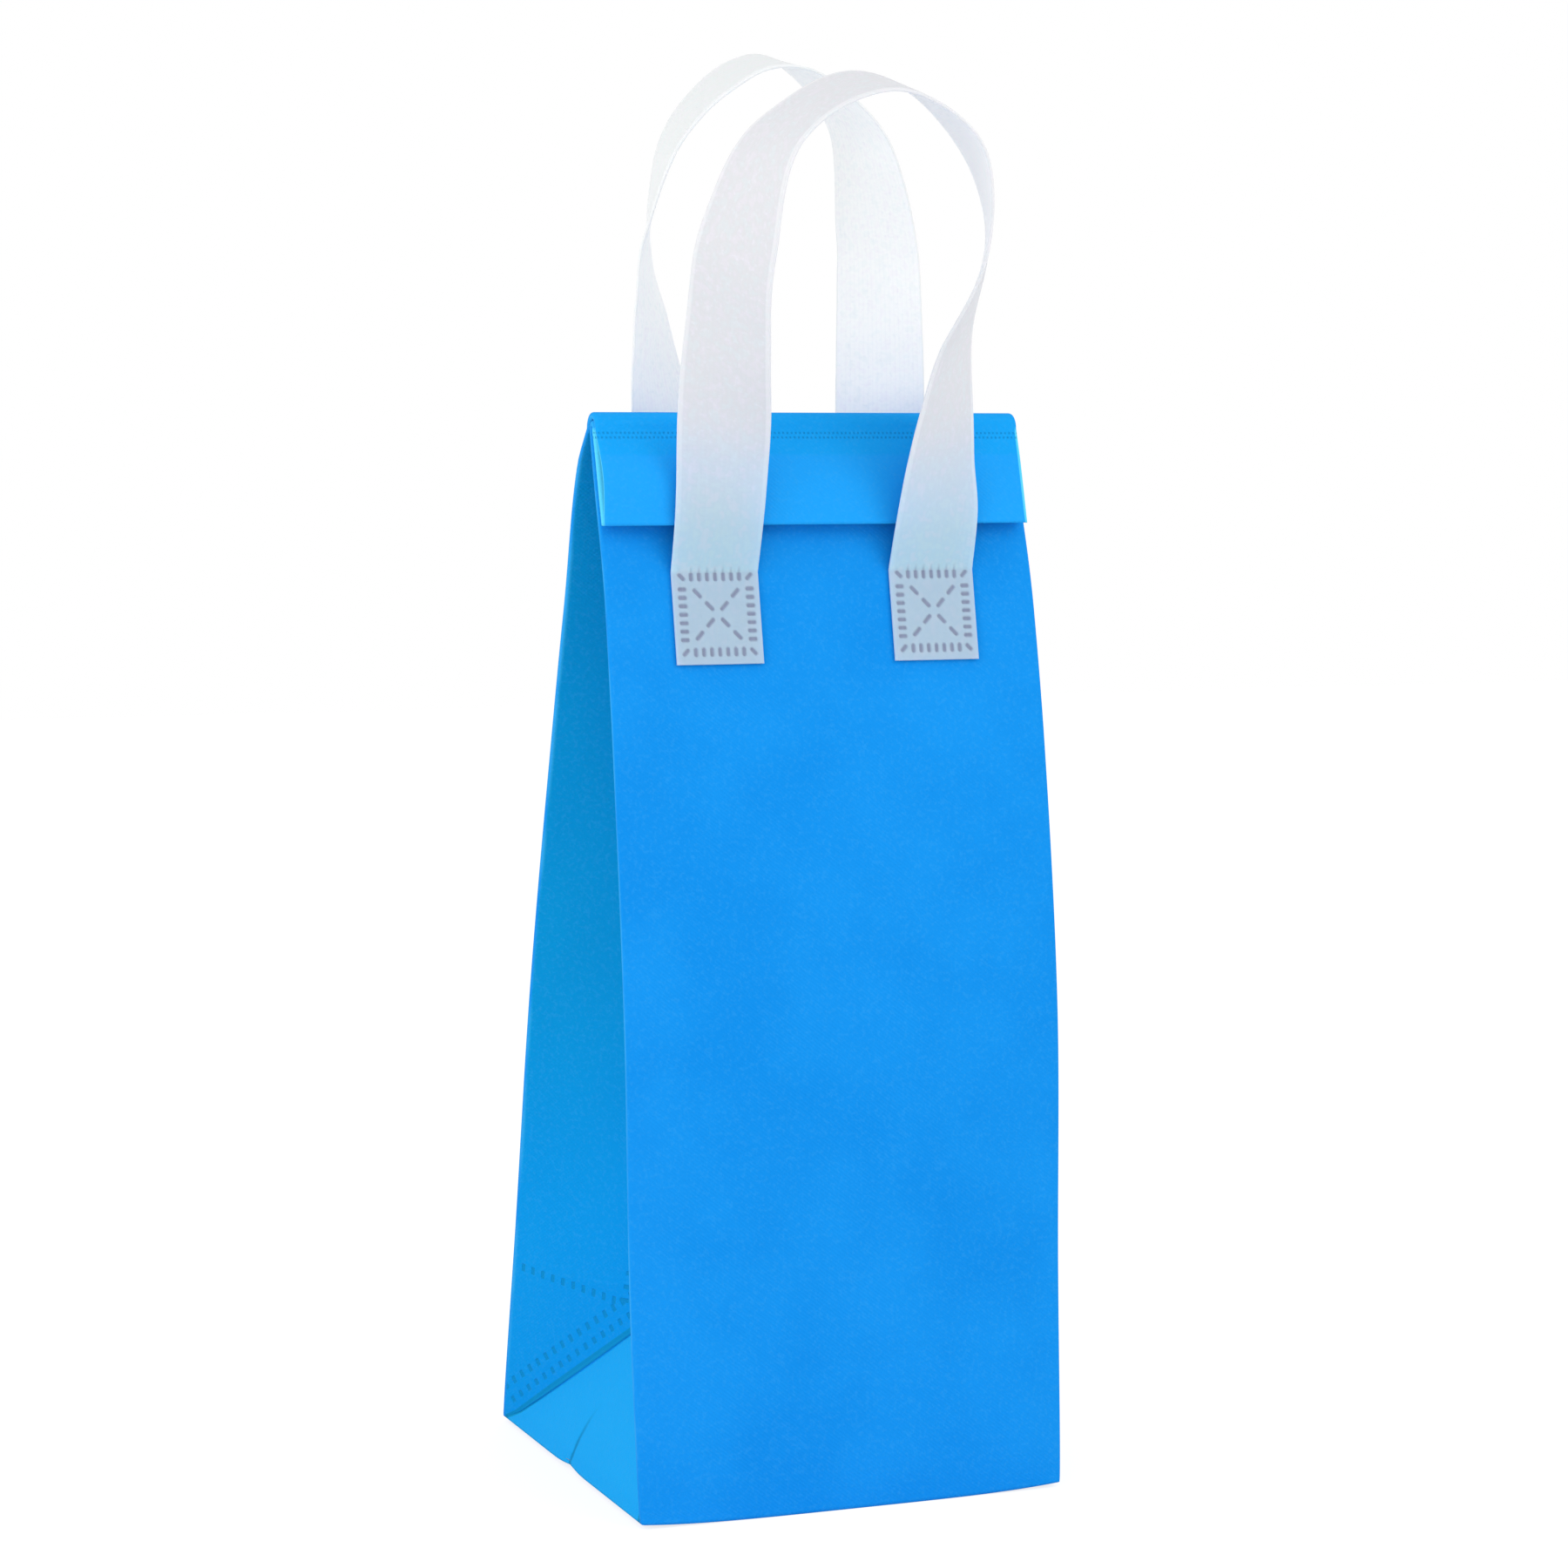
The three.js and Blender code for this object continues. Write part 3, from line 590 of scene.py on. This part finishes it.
class Graph:
    """A material's node tree with one way to add any node: its sockets take numbers, colours or links."""

    def __init__(self, name):
        self.material = bpy.data.materials.new(name)
        self.material.use_nodes = True
        self.tree = self.material.node_tree
        self.shader = self.tree.nodes["Principled BSDF"]

    def add(self, kind, inputs=None, output=0, **settings):
        node = self.tree.nodes.new("ShaderNode" + kind)
        for key, value in settings.items():
            setattr(node, key, value)
        self.feed(node, inputs or {})
        return node.outputs[output]

    def feed(self, node, inputs):
        for key, value in inputs.items():
            if isinstance(value, bpy.types.NodeSocket):
                self.tree.links.new(value, node.inputs[key])
            else:
                node.inputs[key].default_value = value

    def math(self, operation, a, b=0.0, c=0.0):
        return self.add("Math", {0: a, 1: b, 2: c}, operation=operation)

    def step(self, value, low, high, to_low=0.0, to_high=1.0):
        """A smooth step of value from low to high, between two results."""
        inputs = {0: value, 1: low, 2: high, 3: to_low, 4: to_high}
        return self.add("MapRange", inputs, interpolation_type="SMOOTHSTEP")

    def blend(self, share, a, b):
        node = self.tree.nodes.new("ShaderNodeMix")
        node.data_type = "RGBA"
        self.feed(node, {0: share, 6: a, 7: b})
        return node.outputs[2]

    def uv(self, layer):
        """The two coordinates of a UV layer, in the millimetres they were written in."""
        point = self.add("UVMap", uv_map=layer)
        node = self.tree.nodes.new("ShaderNodeSeparateXYZ")
        self.feed(node, {0: point})
        return node.outputs[0], node.outputs[1], point

    def product(self, *values):
        result = values[0]
        for value in values[1:]:
            result = self.math("MULTIPLY", result, value)
        return result

    def largest(self, *values):
        result = values[0]
        for value in values[1:]:
            result = self.math("MAXIMUM", result, value)
        return result

    def bars(self, along, across, pitch, thick, centre, long):
        """A row of short bars: one each pitch along, thick wide, and long across, around centre."""
        cell = self.math("PINGPONG", along, pitch / 2)
        bar = self.step(cell, thick / 2 + 0.15, thick / 2 - 0.15)
        off = self.math("ABSOLUTE", self.math("SUBTRACT", across, centre))
        return self.math("MULTIPLY", bar, self.step(off, long / 2 + 0.2, long / 2 - 0.2))


# %% The laminate
GUSSET_REACH = 60.9  # along the gusset from the side edge to the apex
BOND_PITCH_ACROSS = 1.4  # from one hot bond point to the next
BOND_PITCH_UP = 1.1
DIAGONAL = math.hypot(GUSSET_REACH, APEX_HEIGHT)


def blue_laminate():
    """Blue spunbond over foam. Weld marks: a level row of bars above the apex with a short upright row
    near the crease, two rows along the diagonal fold, two fine dotted lines below the ridge, and a row
    along each side of the base."""
    g = Graph("blue_spunbond_laminate")
    u, v, _ = g.uv("sheet")
    a, h, _ = g.uv("fold")
    place = g.add("TexCoord", output=3)
    on_gusset = g.product(g.step(a, 0.2, 0.6), g.step(a, 63.5, 62.5))

    # Welds on the gussets.
    run, climb = GUSSET_REACH / DIAGONAL, APEX_HEIGHT / DIAGONAL
    along = g.math("ADD", g.math("MULTIPLY", a, run), g.math("MULTIPLY", h, climb))
    above = g.math("SUBTRACT", g.math("MULTIPLY", h, run), g.math("MULTIPLY", a, climb))
    upper = g.bars(along, above, 3.7, 1.2, 8.8, 2.3)
    lower = g.bars(along, above, 3.7, 1.2, 3.9, 2.0)
    slope = g.math("ADD", h, g.math("MULTIPLY", a, 0.148))
    level = g.product(g.bars(a, slope, 3.8, 1.2, 49.2, 2.2), g.step(a, 2.5, 3.0), g.step(a, 41, 40))
    column = g.product(g.bars(h, a, 4.0, 1.2, 42.2, 2.2), g.step(h, 41, 41.6), g.step(h, 53.6, 53))
    diagonal = g.product(g.largest(upper, lower), g.step(along, 5, 6))
    marks = g.product(g.largest(diagonal, level, column), on_gusset)

    # Two dotted lines below the ridge, and a row along each side of the base.
    ridge_v = FOLD_START + math.pi * STACK
    dots = g.bars(u, v, 1.2, 0.5, ridge_v + 1.2, 0.5)
    dots = g.largest(dots, g.bars(g.math("ADD", u, 0.6), v, 1.2, 0.5, ridge_v + 2.4, 0.5))
    base_u, base_v = (g.math("ABSOLUTE", g.math("SUBTRACT", q, BASE_OFFSET)) for q in (u, v))
    dots = g.largest(dots, g.bars(base_v, base_u, 3.0, 1.2, BAG_WIDTH / 2 - 4, 2.0))

    # Colour: pressed welds are deeper and greener. The gussets are a more teal blue as painted reflection
    # and shade, and the rounded folds are paler as painted highlight.
    cloud = g.add("TexNoise", {"Vector": place, "Scale": 26.0, "Detail": 3.0, "Roughness": 0.55})
    fibre = g.add("TexNoise", {"Vector": place, "Scale": 900.0, "Detail": 2.0, "Roughness": 0.6})
    base = g.blend(g.step(cloud, 0.3, 0.7), linear(0x0A90EC), linear(0x1297F2))
    # Painted reflection and shade: the gussets are a more teal blue, bluer towards the foot.
    low = g.step(h, 150, 40)
    base = g.blend(on_gusset, base, g.blend(low, linear(0x009ADA), linear(0x029DEC)))
    past_diagonal = g.math("SUBTRACT", a, g.math("MULTIPLY", h, GUSSET_REACH / APEX_HEIGHT))
    below_apex = g.step(h, APEX_HEIGHT, APEX_HEIGHT - 2)
    triangle = g.product(g.step(past_diagonal, 0.3, 0.9), g.step(a, -1, 0), below_apex)
    # Painted light: each upward-facing triangle at the foot is a lighter blue.
    base = g.blend(triangle, base, linear(0x18B0F8))
    on_flap = g.product(g.step(v, 303, 304), g.step(v, 900, 800), g.step(u, -860, -850))
    # Painted light: the ridge and the flap are a lighter blue, as they take more light.
    base = g.blend(g.product(g.step(v, 288, 296), g.step(v, 900, 800), 0.7), base, linear(0x16AEFF))
    turned = g.product(g.step(v, 306.0, 307.6), on_flap)
    # Painted light: the lower, more upright part of the flap gets its own lit blue.
    base = g.blend(g.product(turned, 0.8), base, linear(0x20A6FF))
    base = g.blend(g.product(g.step(fibre, 0.45, 0.75), 0.16), base, linear(0x46B0F5))
    edge = g.product(g.step(a, -1.9, -1.0), g.step(a, 1.3, 0.3), g.step(h, 8, 30))
    flap_end_highlight = g.product(g.step(a, -2.4, -2.2), g.step(a, 14, 8), g.step(h, 299, 301))
    highlight_patches = g.add("TexNoise", {"Vector": place, "Scale": 60.0, "Detail": 2.0})
    # Painted highlight, in patches, along the rounded side edge of each gusset.
    base = g.blend(g.product(edge, g.step(highlight_patches, 0.3, 0.6), 0.35), base, linear(0x49C2F4))
    # Painted highlight on the lit end face of the flap.
    base = g.blend(g.product(flap_end_highlight, 0.85), base, linear(0x62E0FF))
    # Painted shadow: a dark teal line along the folded edge above each triangle, under the gusset's fold.
    fold_shadow_line = g.product(g.step(above, 0.9, 0.5), g.step(above, -1.6, -1.2), below_apex)
    base = g.blend(g.product(fold_shadow_line, on_gusset, 0.7), base, linear(0x0490BC))
    base = g.blend(g.product(marks, 0.6), base, linear(0x0589BC))

    # The crease that runs up each triangle from the pinch, darkened with painted shade.
    y_mm = g.math("DIVIDE", g.add("SeparateXYZ", {0: place}, output=1), MM)
    from_turn = g.math("SUBTRACT", h, CREASE_Z)
    curve = g.math("MULTIPLY_ADD", g.product(from_turn, from_turn), -CREASE_BEND, CREASE_Y)
    off_curve = g.math("ABSOLUTE", g.math("SUBTRACT", y_mm, curve))
    pleat = g.product(g.step(off_curve, 1.3, 0.1), g.step(h, 18, 5), triangle)
    base = g.blend(g.product(pleat, 0.75), base, linear(0x0482B4))
    base = g.blend(g.product(dots, 0.55), base, linear(0x0A80C4))
    base = g.blend(0.09, base, (0, 0, 0, 1))  # the whole cloth a little deeper
    foil = g.step(u, -850, -899)
    base = g.blend(foil, base, linear(0xC4C8CC))

    # Relief: bond points about a millimetre apart, fibres, and the pressed welds.
    across = g.math("SINE", g.math("MULTIPLY", u, math.tau / BOND_PITCH_ACROSS))
    up = g.math("SINE", g.math("MULTIPLY", v, math.tau / BOND_PITCH_UP))
    height = g.product(across, up, 0.018)
    height = g.math("ADD", height, g.math("MULTIPLY", fibre, 0.05))
    height = g.math("SUBTRACT", height, g.math("MULTIPLY", g.largest(marks, dots, pleat), 0.16))
    bump = g.add("Bump", {"Height": height, "Distance": MM, "Strength": 0.9})
    g.feed(g.shader, {
        "Base Color": base, "Roughness": g.step(foil, 0, 1, 0.85, 0.3), "Metallic": foil, "Normal": bump,
        "IOR": 1.49, "Specular IOR Level": 0.08, "Sheen Weight": 0.01, "Sheen Roughness": 0.5,
    })
    return g.material


# %% The webbing
RIB_PITCH = 1.1  # from one rib to the next, along the webbing
WARP_PITCH = 1.25  # from one warp yarn to the next, across it


def white_webbing(name, inner, outer, blue_reflection_share):
    """White polypropylene webbing: ribs across its width, split by the warp, and a denser selvedge.
    Its inner face is the whiter one. Its weld marks are darker: painted shade in their pits, over the
    blue of the bag showing through the pressed webbing. Its outer face takes a painted blue reflection of
    the bag where it nears the bag, and the gaps between the warp yarns a faint painted shade."""
    g = Graph(name)
    x, s, _ = g.uv("ribbon")
    deep, near_end, _ = g.uv("weld")
    place = g.add("TexCoord", output=3)
    turns = g.math("MULTIPLY", s, math.tau / RIB_PITCH)
    rib = g.math("SINE", turns)
    phase = g.math("MULTIPLY", g.math("ROUND", g.math("DIVIDE", x, WARP_PITCH)), math.pi)
    warp = g.math("COSINE", g.math("MULTIPLY", x, math.tau / WARP_PITCH))
    weave = g.math("SINE", g.math("ADD", turns, phase))
    yarn = g.add("TexNoise", {"Vector": place, "Scale": 700.0, "Detail": 2.0, "Roughness": 0.6})
    selvedge = g.step(g.math("ABSOLUTE", x), 10.6, 11.2)
    outside = g.step(deep, -0.9, -0.1)
    base = g.blend(outside, linear(inner), linear(outer))
    base = g.blend(g.product(g.step(yarn, 0.5, 0.8), 0.3), base, linear(0xE2E4EC))
    base = g.blend(g.product(selvedge, 0.2), base, linear(0xF8F9FA))
    # Painted reflection: the outer face turns blue near the bag, as if lit by light off the laminate.
    blue_reflection = g.step(near_end, TAIL_LENGTH + 45, TAIL_LENGTH + 2)
    base = g.blend(g.product(blue_reflection, outside, blue_reflection_share), base, linear(0xA0D0EB))
    mottle = g.add("TexNoise", {"Vector": place, "Scale": 420.0, "Detail": 1.0})
    base = g.blend(g.product(g.step(mottle, 0.5, 0.7), 0.15), base, linear(0xEADBEE))
    base = g.blend(g.product(g.step(mottle, 0.5, 0.3), 0.15), base, linear(0xCDE4E6))
    tail = g.step(near_end, TAIL_LENGTH + 1, TAIL_LENGTH - 1)
    base = g.blend(g.product(tail, 0.6), base, linear(0xA6B9D3))
    # The weld's marks: painted shade in their pits, over the bag's blue showing through the pressed
    # webbing.
    base = g.blend(g.product(deep, 0.8), base, linear(0x8085A2))
    # Painted shade in the gaps between the warp yarns.
    warp_gap_shade = g.math("MULTIPLY", g.step(warp, -0.4, -1.0), 0.05)
    base = g.blend(warp_gap_shade, base, linear(0xB9C2D6))
    height = g.math("ADD", g.math("MULTIPLY", weave, 0.022), g.math("MULTIPLY", warp, 0.012))
    height = g.math("ADD", height, g.math("MULTIPLY", rib, 0.012))
    height = g.math("ADD", height, g.math("MULTIPLY", yarn, 0.015))
    bump = g.add("Bump", {"Height": height, "Distance": MM, "Strength": 0.3})
    g.feed(g.shader, {
        "Base Color": base, "Roughness": 0.62, "Normal": bump, "IOR": 1.49, "Specular IOR Level": 0.3,
        "Subsurface Weight": 0.6, "Subsurface Radius": (1.0, 1.0, 1.0), "Subsurface Scale": 4 * MM,
    })
    return g.material


# Both loops are one webbing. Their whites are painted light, the front's darker and the rear's whiter,
# and the painted blue reflection is stronger on the front.
for piece, node, slot_name, material in (
    (bag, "bag_body", "blue_laminate", blue_laminate()),
    (front_handle, "front_handle", "white_webbing",
     white_webbing("front_webbing_painted_shade", 0xE8E8E9, 0xD0D0D3, 0.8)),
    (rear_handle, "rear_handle", "white_webbing",
     white_webbing("rear_webbing_painted_light", 0xFBFDFA, 0xDCDFDE, 0.3)),
):
    piece.data.materials.append(material)
    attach(piece, "root")
    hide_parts(node)
print("materials:", [m.name for m in bpy.data.materials if m.users])

# %% [markdown]
# ## Floor, light and camera
#
# The photo's background is pure white, so the floor is white to the camera and keeps a soft shadow.
# The key light comes from the front right and above, as the shadows of the webbing show. Small lights
# at the left, the right and the back brighten the loops, and the camera has the photo's view angle.

# %% Floor and backdrop
FLOOR_SIZE = 6.0
FLOOR_DROP = 0.00005  # keeps the floor and the flat of the base apart
floor_mesh = bpy.data.meshes.new("floor")
corners = [(x * FLOOR_SIZE / 2, y * FLOOR_SIZE / 2, 0) for x, y in ((-1, -1), (1, -1), (1, 1), (-1, 1))]
floor_mesh.from_pydata(corners, [], [(0, 1, 2, 3)])
floor = bpy.data.objects.new("floor", floor_mesh)
floor.location = (0, 0, -FLOOR_DROP)
bpy.context.scene.collection.objects.link(floor)
g = Graph("white_floor")
ray = g.add("LightPath")
lit = g.add("BsdfDiffuse", {"Color": (0.30, 0.30, 0.30, 1)})
glow = g.add("Emission", {"Color": (1, 1, 1, 1), "Strength": 0.8})
seen = g.add("AddShader", {0: lit, 1: glow})
bounce = g.add("BsdfDiffuse", {"Color": (0.9, 0.9, 0.9, 1)})
mixed = g.add("MixShader", {0: ray, 1: bounce, 2: seen})
g.tree.links.new(mixed, g.tree.nodes["Material Output"].inputs["Surface"])
floor_mesh.materials.append(g.material)

world = bpy.data.worlds.new("studio")
bpy.context.scene.world = world
world.use_nodes = True
tree = world.node_tree
path = tree.nodes.new("ShaderNodeLightPath")
seen_white = tree.nodes.new("ShaderNodeMath")
seen_white.operation = "MAXIMUM"
tree.links.new(path.outputs["Is Camera Ray"], seen_white.inputs[0])
tree.links.new(path.outputs["Is Transmission Ray"], seen_white.inputs[1])
strength = tree.nodes.new("ShaderNodeMapRange")
tree.links.new(seen_white.outputs[0], strength.inputs[0])
AMBIENT = 0.84  # what the white surroundings give to the object
strength.inputs[3].default_value = AMBIENT
strength.inputs[4].default_value = 1.0
background = tree.nodes["Background"]
background.inputs["Color"].default_value = (1, 1, 1, 1)
tree.links.new(strength.outputs[0], background.inputs["Strength"])


# %% Lights and camera
def area_light(name, place, target, size, watts):
    """A square soft light at place, aimed at target, both in metres."""
    data = bpy.data.lights.new(name, "AREA")
    data.size = size
    data.energy = watts
    obj = bpy.data.objects.new(name, data)
    obj.location = place
    aim = np.array(target) - np.array(place)
    pan = math.atan2(aim[1], aim[0]) - math.pi / 2
    tilt = math.pi / 2 + math.asin(aim[2] / np.linalg.norm(aim))
    obj.rotation_euler = (tilt, 0, pan)
    bpy.context.scene.collection.objects.link(obj)


MIDDLE = (0.0, 0.0, 0.17)
area_light("key", (0.75, -1.15, 1.05), MIDDLE, 0.8, 3.7)
area_light("fill", (-1.3, -0.45, 0.9), MIDDLE, 0.8, 5.5)
HANDLES = (0.0, -0.03, 0.36)
area_light("low_left", (-0.7, -0.55, 0.2), HANDLES, 0.4, 0.5)
area_light("upper_right", (0.6, -0.6, 0.5), HANDLES, 0.4, 0.6)
area_light("back", (0.15, 0.8, 0.55), HANDLES, 0.5, 0.3)

camera_data = bpy.data.cameras.new("camera")
camera_data.lens = 90.0
camera_data.sensor_width = 36.0
camera = bpy.data.objects.new("camera", camera_data)
camera.location = (-0.38531, -1.01239, 0.28335)
camera.rotation_euler = (math.radians(90 - 4.986), 0, math.radians(-21.010))
bpy.context.scene.collection.objects.link(camera)
bpy.context.scene.camera = camera
bpy.context.scene.view_settings.view_transform = "Standard"
